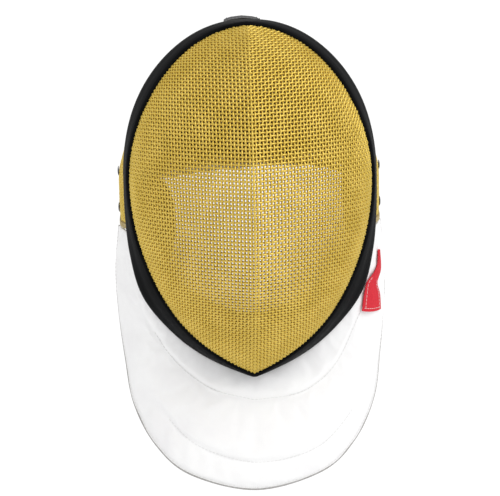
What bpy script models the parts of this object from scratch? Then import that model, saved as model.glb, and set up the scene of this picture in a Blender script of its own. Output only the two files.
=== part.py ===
"""Fencing mask: a woven-wire face and crown joined under a vinyl-covered rim, with a padded bib
below and, inside and behind, the padding, the sprung tongue and the elastic strap.

Metres, +Z up; the face looks along -Y and +X is to the right of someone facing it.
The origin is the head seat: the point under the crown's padding where the top of a head stops."""

import math

import bmesh
import bpy
from mathutils import Vector

# The rim: the upright joint between face and crown, in front of the head seat.
RIM_Y = -0.045
RIM_TOP_Z = 0.0095
RIM_WIDEST_Z = -0.110
CHIN_Z = -0.2700
RIM_HALF_WIDTH = 0.0954

# The face: it bulges forward of the rim to a soft crease that runs down its middle.
FACE_DEPTH = 0.1024
NOSE_Z = -0.130
CREASE_SHARE = 0.48
MESH_WALL = 0.002

# The crown: it swells behind the rim, most at the ears, and closes round the back of the head.
CROWN_LENGTH = 0.115
CROWN_FULLEST = 0.050
CROWN_START = 0.0015
CROWN_SWELL_START = 0.006
BACK_EDGE_Z = -0.107
EAR_BOTTOM_SHARE = 0.560
CROWN_COLUMNS = 56

# How far the crown swells out past the rim where it is fullest, along half a rim.
CROWN_SWELL_ROWS = (
    # share of the way from top to chin, swell
    (0.00, 0.0),
    (0.10, 0.0012),
    (0.20, 0.0037),
    (0.27, 0.0056),
    (0.34, 0.0063),
    (0.41, 0.0065),
    (0.455, 0.0097),
    (0.50, 0.0106),
    (0.56, 0.0128),
)

# How far back the crown's free edge stands behind the rim, from the foot of each ear upward.
CROWN_EDGE_ROWS = (
    # height, distance behind the rim
    (-0.1477, 0.0175),
    (-0.1462, 0.0430),
    (-0.1420, 0.0560),
    (-0.1330, 0.0640),
    (-0.1240, 0.0720),
    (-0.1150, 0.0880),
    (-0.1100, 0.1020),
    (-0.1070, 0.1150),
)

# The trim: a covered roll over the joint, with a lip on the face.
TRIM_BACK = 0.0140
TRIM_LIP_THICK = 0.0014
TRIM_GAP = 0.0006
GAP = 0.0004

# How far the trim stands out from the rim at its back, and forward on the face, along half a rim.
TRIM_ROWS = (
    # share of the way from top to chin, reach, lip
    (0.00, 0.0028, 0.0060),
    (0.13, 0.0058, 0.0070),
    (0.28, 0.0070, 0.0090),
    (0.46, 0.0050, 0.0040),
    (0.54, 0.0066, 0.0055),
    (0.62, 0.0102, 0.0085),
    (0.71, 0.0140, 0.0100),
    (0.80, 0.0108, 0.0100),
    (0.92, 0.0060, 0.0085),
    (1.00, 0.0016, 0.0030),
)

# The bib hangs from the trim between the ears; its free edge runs back, down and round the front.
# The last row is past the middle, so that the edge runs on smoothly through it.
BIB_TOP_SHARE = 0.580
BIB_THICK = 0.0040
BIB_ROWS = (
    # share of the way from ear to chin, edge x, edge y behind the rim, edge z, belly
    (0.00, 0.1085, 0.062, -0.155, 0.0000),
    (0.15, 0.1122, 0.066, -0.192, 0.0020),
    (0.30, 0.1108, 0.062, -0.227, 0.0040),
    (0.45, 0.1062, 0.050, -0.263, 0.0050),
    (0.60, 0.0995, 0.036, -0.299, 0.0060),
    (0.75, 0.0815, 0.020, -0.331, 0.0070),
    (0.88, 0.0530, 0.008, -0.3535, 0.0080),
    (1.00, 0.0000, 0.002, -0.3655, 0.0080),
    (1.12, -0.0530, 0.008, -0.3535, 0.0080),
)
PATCH_THICK = 0.0012
PATCH_ROWS = (
    # share of the way down the patch, then along and down the bib at its left and right edges
    (0.00, 0.052, 0.32, 0.052, 0.41),
    (0.30, 0.088, 0.30, 0.090, 0.48),
    (0.55, 0.130, 0.05, 0.121, 0.37),
    (0.75, 0.160, 0.08, 0.140, 0.54),
    (1.00, 0.195, 0.20, 0.165, 0.67),
)

# The padding inside: over the head, at each ear and under the chin.
CROWN_PAD_THICK = 0.0055
CROWN_PAD_SHARE = 0.435
CROWN_PAD_FRONT = 0.012
EAR_PAD_FRONT = 0.028
EAR_PAD_BACK = 0.064
EAR_PAD_INSET = 0.005
EAR_PADS = (
    # name, side, and rows of height and the inner face's distance from the middle, from the foot up
    (
        "ear_pad_left",
        -1,
        (
            (-0.198, 0.0735),
            (-0.186, 0.0680),
            (-0.1745, 0.0625),
            (-0.1415, 0.0612),
            (-0.125, 0.0650),
            (-0.115, 0.0730),
            (-0.104, 0.0860),
        ),
    ),
    (
        "ear_pad_right",
        1,
        (
            (-0.198, 0.0750),
            (-0.186, 0.0760),
            (-0.168, 0.0762),
            (-0.152, 0.0755),
            (-0.127, 0.0742),
            (-0.113, 0.0765),
            (-0.104, 0.0860),
        ),
    ),
)
CHIN_PAD_THICK = 0.006
CHIN_PAD_OUTSIDE = 0.965
CHIN_PAD_ROWS = (
    # share of the way from top to chin, inner edge's size as a part of the rim's
    (0.66, 0.945),
    (0.70, 0.925),
    (0.76, 0.860),
    (0.86, 0.78),
    (1.00, 0.715),
)

# The tongue: a sprung bar from the crown's top round behind the head, and the strap across its end.
TONGUE_X = -0.003
TONGUE_WIDTH = 0.029
TONGUE_THICK = 0.0026
TONGUE_ARCHES = (0.0026, 0.0010)
TONGUE_ROWS = (
    # distance behind the rim, height
    (0.030, 0.0114),
    (0.050, 0.0114),
    (0.072, 0.0114),
    (0.096, 0.0045),
    (0.118, -0.0125),
    (0.133, -0.0350),
    (0.1385, -0.0580),
    (0.1385, -0.0800),
    (0.1385, -0.1120),
)
STRAP_WIDTH = 0.025
STRAP_THICK = 0.0018
STRAP_Z = -0.107
STRAP_TILT = 0.055
STRAP_ROWS = (
    # distance from the middle, distance behind the rim
    (0.0000, 0.1415),
    (0.0200, 0.1402),
    (0.0450, 0.1295),
    (0.0700, 0.1125),
    (0.0872, 0.0965),
    (0.0944, 0.0838),
    (0.1010, 0.0720),
)

EDGE_TAPE_WIDTH = 0.0045
EDGE_TAPE_THICK = 0.004
EDGE_TAPE_GAP = 0.0010
# Distances behind the rim of the tape's points along the foot of each ear.
EDGE_TAPE_FOOT = (0.0155, 0.0215, 0.0275)
RIVET_RADIUS = 0.004
RIVET_HEIGHT = 0.0010
RIVET_HEIGHTS = (("upper", -0.109), ("lower", -0.137))
MASK_CENTRE = Vector((0, 0, -0.12))


def clear_scene():
    for obj in list(bpy.data.objects):
        bpy.data.objects.remove(obj, do_unlink=True)


def make_material(name, color, roughness, metallic=0.0):
    material = bpy.data.materials.new(name)
    material.use_nodes = True
    shader = material.node_tree.nodes["Principled BSDF"]
    shader.inputs["Base Color"].default_value = (*color, 1.0)
    shader.inputs["Roughness"].default_value = roughness
    shader.inputs["Metallic"].default_value = metallic
    return material


def smooth_step(value):
    value = min(1.0, max(0.0, value))
    return value * value * (3 - 2 * value)


def read_row(rows, key, column):
    """A column of a table at key: a smooth curve through the rows, whose first column is the key."""
    key = min(rows[-1][0], max(rows[0][0], key))
    index = max(i for i in range(len(rows) - 1) if rows[i][0] <= key)
    slopes = []
    for i in (index, index + 1):
        before, after = rows[max(0, i - 1)], rows[min(len(rows) - 1, i + 1)]
        slopes.append((after[column] - before[column]) / (after[0] - before[0]))
    start, end = rows[index], rows[index + 1]
    span = end[0] - start[0]
    t = (key - start[0]) / span
    return (
        start[column] * (1 + 2 * t) * (1 - t) ** 2
        + slopes[0] * span * t * (1 - t) ** 2
        + end[column] * t * t * (3 - 2 * t)
        + slopes[1] * span * t * t * (t - 1)
    )


def rim_half_width(z):
    """Half the rim's width at a height: a soft ellipse above its widest line, a pointed chin below."""
    if z >= RIM_WIDEST_Z:
        rise = min(1.0, (z - RIM_WIDEST_Z) / (RIM_TOP_Z - RIM_WIDEST_Z))
        return RIM_HALF_WIDTH * (1 - rise**1.92) ** (1 / 1.92)
    fall = min(1.0, (RIM_WIDEST_Z - z) / (RIM_WIDEST_Z - CHIN_Z))
    return RIM_HALF_WIDTH * (1 - 0.70 * fall**2.09 - 0.30 * fall**8)


def trace_half_rim(steps=300):
    """Points down the right half of the rim from top to chin, each with its share of the length."""
    heights = [
        RIM_WIDEST_Z + (RIM_TOP_Z - RIM_WIDEST_Z) * math.cos(math.pi / 2 * i / steps)
        for i in range(steps)
    ]
    heights += [
        RIM_WIDEST_Z + (CHIN_Z - RIM_WIDEST_Z) * i / steps for i in range(steps + 1)
    ]
    points = [Vector((rim_half_width(z), z)) for z in heights]
    lengths = [0.0]
    for before, after in zip(points, points[1:]):
        lengths.append(lengths[-1] + (after - before).length)
    return [(length / lengths[-1], point) for length, point in zip(lengths, points)]


HALF_RIM = trace_half_rim()


def rim_place(share):
    """(x, z) on the rim: share runs from 0 at the top to 1 at the chin, negative on the left."""
    share = (share + 1) % 2 - 1
    side = -1 if share < 0 else 1
    below = 0
    above = len(HALF_RIM) - 1
    while above - below > 1:
        middle = (below + above) // 2
        if HALF_RIM[middle][0] <= abs(share):
            below = middle
        else:
            above = middle
    start, end = HALF_RIM[below], HALF_RIM[above]
    place = start[1].lerp(end[1], (abs(share) - start[0]) / (end[0] - start[0]))
    return Vector((side * place.x, place.y))


def rim_outward(share):
    along = rim_place(share + 0.012) - rim_place(share - 0.012)
    return Vector((-along.y, along.x)).normalized()


def rim_point(share, out, behind):
    """A point out from the rim, square to its line, and behind its plane."""
    flat = rim_place(share) + rim_outward(share) * out
    return Vector((flat.x, RIM_Y + behind, flat.y))


def face_depth(x, z):
    """How far the face stands in front of the rim's plane."""
    if z > NOSE_Z:
        rise = min(1.0, (z - NOSE_Z) / (RIM_TOP_Z - NOSE_Z))
        lost = 0.45 * rise**2 + 0.55 * (1 - math.sqrt(1 - rise**2))
    else:
        lost = min(1.0, (NOSE_Z - z) / (NOSE_Z - CHIN_Z)) ** 2
    across = min(1.0, abs(x) / max(rim_half_width(z), 1e-6))
    lost_across = CREASE_SHARE * across + (1 - CREASE_SHARE) * (1 - math.sqrt(1 - across**2))
    return FACE_DEPTH * (1 - lost) * (1 - lost_across)


def face_point(round_share, out_share):
    """A point on the face: round it from the chin, and out from the nose to the rim."""
    edge = rim_place(2 * round_share - 1)
    reach = math.sin(out_share * math.pi / 2)
    x = edge.x * reach
    z = NOSE_Z + (edge.y - NOSE_Z) * reach
    return Vector((x, RIM_Y - face_depth(x, z), z))


def crown_length(share):
    """How far back the crown runs: to the back of the head above, and only past the ears below."""
    return read_row(CROWN_EDGE_ROWS, rim_place(share).y, 1)


def crown_share(column):
    """The share round the rim of each column of the crown, which stand closest at the ears."""
    return EAR_BOTTOM_SHARE * math.sin(math.pi * (column - 0.5))


def crown_swell(share, behind):
    """How far the crown stands out past the rim."""
    grown = smooth_step((behind - CROWN_SWELL_START) / (CROWN_FULLEST - CROWN_SWELL_START))
    return read_row(CROWN_SWELL_ROWS, share, 1) * grown


def crown_point(share, behind):
    """A point on the crown's outside, at a share round the rim and a distance behind it."""
    swell = crown_swell(abs(share), behind)
    past = max(0.0, behind - CROWN_FULLEST) / (CROWN_LENGTH - CROWN_FULLEST)
    closing = math.sqrt(max(0.0, 1 - past**2))
    point = rim_point(share, swell - 0.0003, behind)
    point.x *= closing
    if point.z > BACK_EDGE_Z:
        point.z = BACK_EDGE_Z + (point.z - BACK_EDGE_Z) * closing
    return point


def trim_row(share, column):
    return read_row(TRIM_ROWS, abs((share + 1) % 2 - 1), column)


def face_inset(share, forward):
    """How far in from the rim the face is at a distance forward of the rim's plane."""
    near, far = 0.0, 0.03
    for _ in range(24):
        middle = (near + far) / 2
        place = rim_place(share) - rim_outward(share) * middle
        if face_depth(place.x, place.y) < forward:
            near = middle
        else:
            far = middle
    return near


def trim_point(round_share, section_share):
    """A point of the trim's closed section, which runs round its lip, outside, back and inside."""
    share = 2 * round_share - 1
    reach = trim_row(share, 1)
    lip = trim_row(share, 2)
    edge = TRIM_GAP - face_inset(share, lip)
    corners = (
        (edge, -lip),
        (edge + 0.7 * TRIM_LIP_THICK, -lip - 0.0003),
        (edge + 1.4 * TRIM_LIP_THICK, -lip + 0.0010),
        (0.45 * reach + 0.0010, 0.002),
        (reach - 0.0002, TRIM_BACK - 0.0016),
        (reach - 0.0010, TRIM_BACK),
        (min(0.0014, reach - 0.0014), TRIM_BACK),
        (TRIM_GAP, 0.0),
        (TRIM_GAP - face_inset(share, lip / 2), -lip / 2),
    )
    out, behind = corners[round(section_share * len(corners)) % len(corners)]
    return rim_point(share, out, behind)


def bib_point(along, down):
    """A point on the bib's outside: along from the right ear round the chin to the left, and down."""
    share = 1 - abs(1 - 2 * along)
    side = 1 if along <= 0.5 else -1
    seam_share = BIB_TOP_SHARE + (1 - BIB_TOP_SHARE) * share
    seam = rim_point(seam_share, trim_row(seam_share, 1) - 0.001, TRIM_BACK + GAP)
    edge = Vector(read_row(BIB_ROWS, share, column) for column in (1, 2, 3))
    edge.y += RIM_Y
    belly = rim_outward(seam_share) * 0.5
    outward = Vector((belly.x, -0.85, belly.y)).normalized()
    point = seam.lerp(edge, down)
    point += outward * read_row(BIB_ROWS, share, 4) * math.sin(math.pi * down) ** 0.8
    return Vector((side * point.x, point.y, point.z))


def finish(name, source, material, wall=0.0):
    """Turns a bmesh into a named object, with a wall's thickness inward where one is given."""
    mesh = bpy.data.meshes.new(name)
    source.to_mesh(mesh)
    source.free()
    mesh.materials.append(material)
    mesh.shade_smooth()
    mesh.set_sharp_from_angle(angle=math.radians(40))
    obj = bpy.data.objects.new(name, mesh)
    bpy.context.scene.collection.objects.link(obj)
    if wall:
        solid = obj.modifiers.new("wall", "SOLIDIFY")
        solid.thickness = wall
        solid.offset = -1
    return obj


def bend_grid(columns, rows, surface):
    """A flat grid bent onto surface(u, v), with its closing edges and poles merged."""
    grid = bmesh.new()
    bmesh.ops.create_grid(grid, x_segments=columns, y_segments=rows, size=0.5)
    for vert in grid.verts:
        vert.co = surface(vert.co.x + 0.5, vert.co.y + 0.5)
    bmesh.ops.remove_doubles(grid, verts=grid.verts, dist=1e-6)
    bmesh.ops.recalc_face_normals(grid, faces=grid.faces)
    return grid


def make_wall(name, columns, rows, surface, wall, material, inward=0.0):
    """A sheet on surface(u, v), moved inward, with a wall's thickness on the head's side."""
    grid = bend_grid(columns, rows, surface)
    widest = max(grid.faces, key=lambda face: face.calc_area())
    if widest.normal.dot(widest.calc_center_median() - MASK_CENTRE) < 0:
        bmesh.ops.reverse_faces(grid, faces=grid.faces)
    grid.normal_update()
    for vert, normal in [(vert, vert.normal.copy()) for vert in grid.verts]:
        vert.co -= normal * inward
    return finish(name, grid, material, wall)


def make_closed(name, source, material):
    """A closed body from a bmesh, with its faces turned outward."""
    bmesh.ops.recalc_face_normals(source, faces=source.faces)
    if source.calc_volume(signed=True) < 0:
        bmesh.ops.reverse_faces(source, faces=source.faces)
    return finish(name, source, material)


def make_bar(name, path, outwards, width, thickness, material, arches=(0.0, 0.0)):
    """A bar along a path; each outward vector is the way that its broad side faces. The arches
    are how far the middles of its outer and inner sides stand above their edges."""
    lanes = 6 if arches[0] else 1
    bar = bmesh.new()
    rings = []
    for index, (point, outward) in enumerate(zip(path, outwards)):
        along = path[min(index + 1, len(path) - 1)] - path[max(index - 1, 0)]
        outward = (outward - outward.project(along)).normalized()
        side = along.cross(outward).normalized() * width / 2
        across = [1 - 2 * lane / lanes for lane in range(lanes + 1)]
        outer, inner = [
            [point + side * x + outward * (up - arch * x * x) for x in across]
            for up, arch in zip((thickness / 2, -thickness / 2), arches)
        ]
        rings.append([bar.verts.new(corner) for corner in outer + inner[::-1]])
    count = len(rings[0])
    for ring, following in zip(rings, rings[1:]):
        for i in range(count):
            j = (i + 1) % count
            bar.faces.new((ring[i], ring[j], following[j], following[i]))
    for ring in (rings[0], rings[-1]):
        for lane in range(lanes):
            bar.faces.new((ring[lane], ring[lane + 1], ring[count - 2 - lane], ring[count - 1 - lane]))
    return make_closed(name, bar, material)


def make_face(gold):
    make_wall("face_mesh", 48, 12, face_point, MESH_WALL, gold)


def make_crown(gold):
    def surface(u, v):
        share = crown_share(u)
        length = crown_length(share)
        behind = CROWN_START + (length - CROWN_START) * math.sin(v * math.pi / 2)
        return crown_point(share, behind)

    make_wall("crown_mesh", CROWN_COLUMNS, 9, surface, MESH_WALL, gold)


def make_trim(vinyl):
    grid = bend_grid(72, 9, trim_point)
    make_closed("rim_trim", grid, vinyl)


def make_edge_tape(tape):
    """The tape that binds the crown's free edge, just past the wire, from foot to foot of the ears."""
    shares = [crown_share(column / CROWN_COLUMNS) for column in range(CROWN_COLUMNS + 1)]
    ends = [crown_point(share, crown_length(share)) for share in shares]
    path = [point for point in ends if (point - ends[CROWN_COLUMNS // 2]).length > 1e-4]
    path.insert(len(path) // 2, ends[CROWN_COLUMNS // 2])
    for side in (-1, 1):
        foot = [crown_point(side * EAR_BOTTOM_SHARE, behind) for behind in EDGE_TAPE_FOOT]
        path = foot + path if side < 0 else path + foot[::-1]
    outwards = []
    moved = []
    for index, point in enumerate(path):
        along = path[min(index + 1, len(path) - 1)] - path[max(index - 1, 0)]
        past = max(0.0, point.y - RIM_Y - CROWN_FULLEST)
        outward = Vector((point.x / RIM_HALF_WIDTH**2, past / (CROWN_LENGTH - CROWN_FULLEST) ** 2, 0))
        outward.normalize()
        away = outward.cross(along).normalized()
        if away.z > 0:
            away.negate()
        outwards.append(outward)
        moved.append(point + away * (EDGE_TAPE_WIDTH / 2 + EDGE_TAPE_GAP) - outward * MESH_WALL / 2)
    make_bar("crown_edge_tape", moved, outwards, EDGE_TAPE_WIDTH, EDGE_TAPE_THICK, tape)


def make_bib(cloth):
    make_wall("bib", 48, 9, bib_point, BIB_THICK, cloth)


def make_patch(red):
    def surface(u, v):
        left_along, left_down, right_along, right_down = (
            read_row(PATCH_ROWS, v, column) for column in (1, 2, 3, 4)
        )
        along = left_along + (right_along - left_along) * u
        return bib_point(along, left_down + (right_down - left_down) * u)

    make_wall("bib_patch", 4, 12, surface, PATCH_THICK, red, inward=-(PATCH_THICK + GAP))


def make_crown_pad(padding):
    def surface(u, v):
        share = CROWN_PAD_SHARE * (2 * u - 1)
        behind = CROWN_PAD_FRONT + (CROWN_LENGTH - CROWN_PAD_FRONT) * math.sin(v * math.pi / 2)
        return crown_point(share, behind)

    make_wall(
        "crown_pad", 28, 7, surface, CROWN_PAD_THICK, padding, inward=MESH_WALL + 2 * GAP
    )


def make_ear_pads(padding):
    """Cushions inside the ears, each with its outer side against the crown and its inner side at
    its rows' distance from the middle, drawn together at its top and its foot."""
    for name, side, rows in EAR_PADS:
        foot, top = rows[0][0], rows[-1][0]

        def surface(u, v):
            turn = 2 * math.pi * u
            z = foot + (top - foot) * v
            reach = (EAR_PAD_BACK - EAR_PAD_FRONT) / 2 * math.sin(math.pi * v) ** 0.4
            behind = (EAR_PAD_FRONT + EAR_PAD_BACK) / 2 + reach * math.sin(turn)
            inside = read_row(rows, z, 1)
            swell = crown_swell(CROWN_PAD_SHARE, behind)
            outside = rim_half_width(z) + swell - MESH_WALL - EAR_PAD_INSET
            x = inside + (outside - inside) * (0.5 + 0.5 * math.cos(turn))
            return Vector((side * x, RIM_Y + behind, z))

        make_closed(name, bend_grid(16, 12, surface), padding)


def make_chin_pad(padding):
    """The pad under the chin: a crescent just inside the rim, widest at the chin."""
    first = CHIN_PAD_ROWS[0][0]

    def surface(u, v):
        share = (1 - abs(1 - 2 * u)) * (1 - first) + first
        side = 1 if u <= 0.5 else -1
        inside = read_row(CHIN_PAD_ROWS, share, 1)
        size = CHIN_PAD_OUTSIDE + (inside - CHIN_PAD_OUTSIDE) * v
        place = rim_place(share) * size
        height = RIM_WIDEST_Z + (rim_place(share).y - RIM_WIDEST_Z) * size
        return Vector((side * place.x, RIM_Y + 0.004 + 0.016 * v, height))

    make_wall("chin_pad", 24, 4, surface, CHIN_PAD_THICK, padding)


def make_tongue(plastic):
    path = []
    for index in range(len(TONGUE_ROWS) - 1):
        steps = 1 if index in (0, len(TONGUE_ROWS) - 2) else 3
        for step in range(steps):
            path.append(index + step / steps)
    path.append(len(TONGUE_ROWS) - 1)
    keyed = [(float(i), *row) for i, row in enumerate(TONGUE_ROWS)]
    points = [
        Vector((TONGUE_X, RIM_Y + read_row(keyed, key, 1), read_row(keyed, key, 2))) for key in path
    ]
    centre = Vector((TONGUE_X, RIM_Y + 0.04, -0.09))
    outwards = [point - centre for point in points]
    make_bar("tongue", points, outwards, TONGUE_WIDTH, TONGUE_THICK, plastic, TONGUE_ARCHES)


def make_strap(elastic):
    """The strap: sewn to the outside of the crown above each ear, it runs round the tongue's end."""
    points = []
    for side in (1, -1):
        half = []
        for index in range(len(STRAP_ROWS) - 1):
            for step in range(3):
                half.append(index + step / 3)
        half.append(len(STRAP_ROWS) - 1)
        if side > 0:
            half = half[:0:-1]
        keyed = [(float(i), *row) for i, row in enumerate(STRAP_ROWS)]
        for key in half:
            x = side * read_row(keyed, key, 1)
            points.append(Vector((x, RIM_Y + read_row(keyed, key, 2), STRAP_Z + STRAP_TILT * x)))
    outwards = [Vector((point.x, point.y - RIM_Y - CROWN_FULLEST, 0)) for point in points]
    make_bar("back_strap", points, outwards, STRAP_WIDTH, STRAP_THICK, elastic)


def make_rivets(metal):
    """Low heads on the crown's ears, two on each side."""
    for side_name, side in (("left", -1), ("right", 1)):
        for place, height in RIVET_HEIGHTS:
            share = min(
                (i / 1000 for i in range(400, 580)), key=lambda s: abs(rim_place(s).y - height)
            )
            seat = crown_point(share, CROWN_FULLEST)
            head = bmesh.new()
            bmesh.ops.create_cone(
                head,
                cap_ends=True,
                segments=14,
                radius1=RIVET_RADIUS,
                radius2=RIVET_RADIUS * 0.55,
                depth=RIVET_HEIGHT,
            )
            for vert in head.verts:
                local = vert.co.copy()
                out = local.z + RIVET_HEIGHT / 2 + GAP
                vert.co = (side * (seat.x + out), seat.y + local.x, seat.z + local.y)
            make_closed(f"rivet_{side_name}_{place}", head, metal)


clear_scene()
gold_wire = make_material("gold_wire", (0.62, 0.40, 0.09), 0.38, 0.85)
black_vinyl = make_material("black_vinyl", (0.012, 0.012, 0.014), 0.42)
white_cloth = make_material("white_cloth", (0.86, 0.86, 0.85), 0.85)
red_cloth = make_material("red_cloth", (0.60, 0.03, 0.05), 0.75)
dark_padding = make_material("dark_padding", (0.03, 0.03, 0.033), 0.9)
tan_tape = make_material("tan_tape", (0.30, 0.24, 0.12), 0.8)
black_plastic = make_material("black_plastic", (0.02, 0.02, 0.022), 0.35)
pale_elastic = make_material("pale_elastic", (0.7, 0.7, 0.68), 0.85)
dark_metal = make_material("dark_metal", (0.05, 0.05, 0.055), 0.35, 0.9)

make_face(gold_wire)
make_crown(gold_wire)
make_trim(black_vinyl)
make_edge_tape(tan_tape)
make_bib(white_cloth)
make_patch(red_cloth)
make_crown_pad(dark_padding)
make_ear_pads(dark_padding)
make_chin_pad(dark_padding)
make_tongue(black_plastic)
make_strap(pale_elastic)
make_rivets(dark_metal)
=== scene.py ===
"""The looks of a fencing mask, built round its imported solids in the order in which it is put
together: the studio, the woven wire, the covered rim, the padding, the bib, the tongue, strap
and rivets.

Metres, +Z up; the face looks along -Y and +X is to the right of someone facing it."""

import bisect
import math

import bmesh
import bpy
from mathutils import Matrix, Vector, noise


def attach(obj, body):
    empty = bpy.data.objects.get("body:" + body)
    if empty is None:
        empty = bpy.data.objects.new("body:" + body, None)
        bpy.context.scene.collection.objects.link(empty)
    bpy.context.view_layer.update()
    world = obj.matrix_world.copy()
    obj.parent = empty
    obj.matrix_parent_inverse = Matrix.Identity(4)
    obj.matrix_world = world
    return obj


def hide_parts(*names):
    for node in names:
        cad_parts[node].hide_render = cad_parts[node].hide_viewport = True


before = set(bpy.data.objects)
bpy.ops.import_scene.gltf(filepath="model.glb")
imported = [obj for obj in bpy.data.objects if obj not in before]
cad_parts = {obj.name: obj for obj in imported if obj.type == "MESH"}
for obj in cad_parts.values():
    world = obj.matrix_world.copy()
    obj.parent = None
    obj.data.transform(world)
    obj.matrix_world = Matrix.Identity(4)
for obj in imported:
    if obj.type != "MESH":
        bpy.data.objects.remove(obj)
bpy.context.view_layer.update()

# ---------------------------------------------------------------------------------------------
# The studio: a white room with a pale floor well below the mask and a soft key light from above
# on the right. The camera stands a little above the face's middle and leans a touch.
FLOOR_Z = -0.9
FLOOR_HALF = 90.0
CAMERA_AIM = Vector((0.0, -0.045, -0.167))
CAMERA_AWAY = 1.6
CAMERA_RISE = math.radians(9.0)
CAMERA_SWING = math.radians(-1.4)
CAMERA_LEAN = math.radians(-1.2)
CAMERA_LENS = 145.8
CAMERA_SENSOR = 36.0
CAMERA_SHIFT = -0.004
ROOM_LIGHT = 0.94
KEY_LIGHT = 1.05
KEY_SOFTNESS = 40
KEY_TOWARD = Vector((-0.70, 0.75, -0.85))


def add_node(material, kind, inputs=None, **settings):
    """A node with its settings; each input takes a value or another node's output."""
    node = material.node_tree.nodes.new(kind)
    for name, value in settings.items():
        setattr(node, name, value)
    for name, value in (inputs or {}).items():
        if isinstance(value, bpy.types.NodeSocket):
            material.node_tree.links.new(value, node.inputs[name])
        else:
            node.inputs[name].default_value = value
    return node


def object_place(material):
    """The object's own coordinates, which are metres."""
    return add_node(material, "ShaderNodeTexCoord").outputs["Object"]


def add_noise(material, scale, detail=3.0):
    """A noise with so many bumps to the metre."""
    inputs = {"Vector": object_place(material), "Scale": scale, "Detail": detail}
    return add_node(material, "ShaderNodeTexNoise", {**inputs, "Roughness": 0.55}).outputs["Fac"]


def start_material(name, roughness, grain, dark, light, metallic=0.0, detail=3.0):
    """A material whose colour wanders between dark and light with a noise of that grain. Gives
    the material, its shader and the noise."""
    material = bpy.data.materials.new(name)
    material.use_nodes = True
    shader = material.node_tree.nodes["Principled BSDF"]
    shader.inputs["Roughness"].default_value = roughness
    shader.inputs["Metallic"].default_value = metallic
    wander = add_noise(material, grain, detail)
    ramp = add_node(material, "ShaderNodeValToRGB", {"Fac": wander})
    for stop, place, shade in zip(ramp.color_ramp.elements, (0.35, 0.65), (dark, light)):
        stop.position = place
        stop.color = (*shade, 1.0)
    material.node_tree.links.new(ramp.outputs["Color"], shader.inputs["Base Color"])
    return material, shader, wander


def bring_in(name, data):
    """A new object in the scene for a mesh, a curve, a lamp or a camera."""
    obj = bpy.data.objects.new(name, data)
    bpy.context.scene.collection.objects.link(obj)
    return obj


def finish_mesh(name, source, material, sharp_angle=60):
    """Turns a bmesh into a named object with one material, shaded smooth but for sharp edges."""
    mesh = bpy.data.meshes.new(name)
    source.to_mesh(mesh)
    source.free()
    mesh.materials.append(material)
    mesh.shade_smooth()
    mesh.set_sharp_from_angle(angle=math.radians(sharp_angle))
    return bring_in(name, mesh)


floor_paint = start_material(
    "pale_floor", 0.9, 3.0, dark=(0.925, 0.925, 0.925), light=(0.945, 0.945, 0.945)
)[0]
floor_sheet = bmesh.new()
bmesh.ops.create_grid(floor_sheet, x_segments=8, y_segments=8, size=FLOOR_HALF)
bmesh.ops.translate(floor_sheet, verts=floor_sheet.verts, vec=(0, 0, FLOOR_Z))
finish_mesh("studio_floor", floor_sheet, floor_paint)

room = bpy.data.worlds.new("white_room")
room.use_nodes = True
walls = room.node_tree.nodes["Background"]
walls.inputs["Color"].default_value = (1.0, 1.0, 1.0, 1.0)
walls.inputs["Strength"].default_value = ROOM_LIGHT
bpy.context.scene.world = room
bpy.context.scene.view_settings.view_transform = "Standard"
key_lamp = bring_in("key_light", bpy.data.lights.new("key_light", "SUN"))
key_lamp.data.energy = KEY_LIGHT
key_lamp.data.angle = math.radians(KEY_SOFTNESS)
key_lamp.rotation_euler = KEY_TOWARD.to_track_quat("-Z", "Y").to_euler()

camera_back = Vector(
    (
        math.sin(CAMERA_SWING) * math.cos(CAMERA_RISE),
        -math.cos(CAMERA_SWING) * math.cos(CAMERA_RISE),
        math.sin(CAMERA_RISE),
    )
)
camera = bring_in("camera", bpy.data.cameras.new("camera"))
camera.data.lens = CAMERA_LENS
camera.data.sensor_width = CAMERA_SENSOR
camera.data.shift_x = CAMERA_SHIFT
camera.location = CAMERA_AIM + camera_back * CAMERA_AWAY
camera_turn = (-camera_back).to_track_quat("-Z", "Y").to_matrix()
camera.rotation_euler = (camera_turn @ Matrix.Rotation(CAMERA_LEAN, 3, "Z")).to_euler()
bpy.context.scene.camera = camera

# ---------------------------------------------------------------------------------------------
# The face: a plain weave of gilded steel wire, drawn to a dome with a soft crease down its middle.
# The wires keep their pitch as the cloth shears to the dome; their ends go under the rim's cover.
RIM_Y = -0.045
RIM_TOP_Z = 0.0095
RIM_WIDEST_Z = -0.110
CHIN_Z = -0.2700
RIM_HALF_WIDTH = 0.0954
RIM_ROUNDNESS = 1.92
CHIN_TAPERS = (
    # part of the half width lost on the way down to the chin, how late it is lost
    (0.70, 2.09),
    (0.30, 8),
)
FACE_DEPTH = 0.1024
NOSE_Z = -0.130
BROW_SLOPE = 0.45
BROW_ROUND = 0.55
CREASE_SHARE = 0.48
MESH_WALL = 0.002
WIRE_PITCH = 0.0031
WIRE_RADIUS = 0.00087
WIRE_WAVE = 0.00045
# How far a wire runs past its last crossing, and where it bends beside each, as shares of a pitch.
WIRE_END = 0.9
WIRE_BEND = 0.25
# How far the net may be laid, and how far it is kept, by swing from the crease and rise from the
# nose. Both go a little past the rim, whose cover hides the ends of the wires.
FACE_LAID = (1.61, -1.56, 1.61)
FACE_KEPT = (1.60, -1.55, 1.60)
# A pitch takes less than the reach of a surface's way. A crossing is closed in on by steps, until
# it misses its pitches by less than so many square metres.
NET_REACH = 0.4
NET_COLUMNS = 90
NET_SPARE_ROWS = 40
CELL_TRIES = 14
CELL_MISS = 2e-9
CELL_STEP = 0.15
NUDGE = 1e-4
NET_CENTRE = Vector((0, RIM_Y + 0.02, -0.12))
MIRROR = Matrix.Diagonal((-1, 1, 1))


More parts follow.
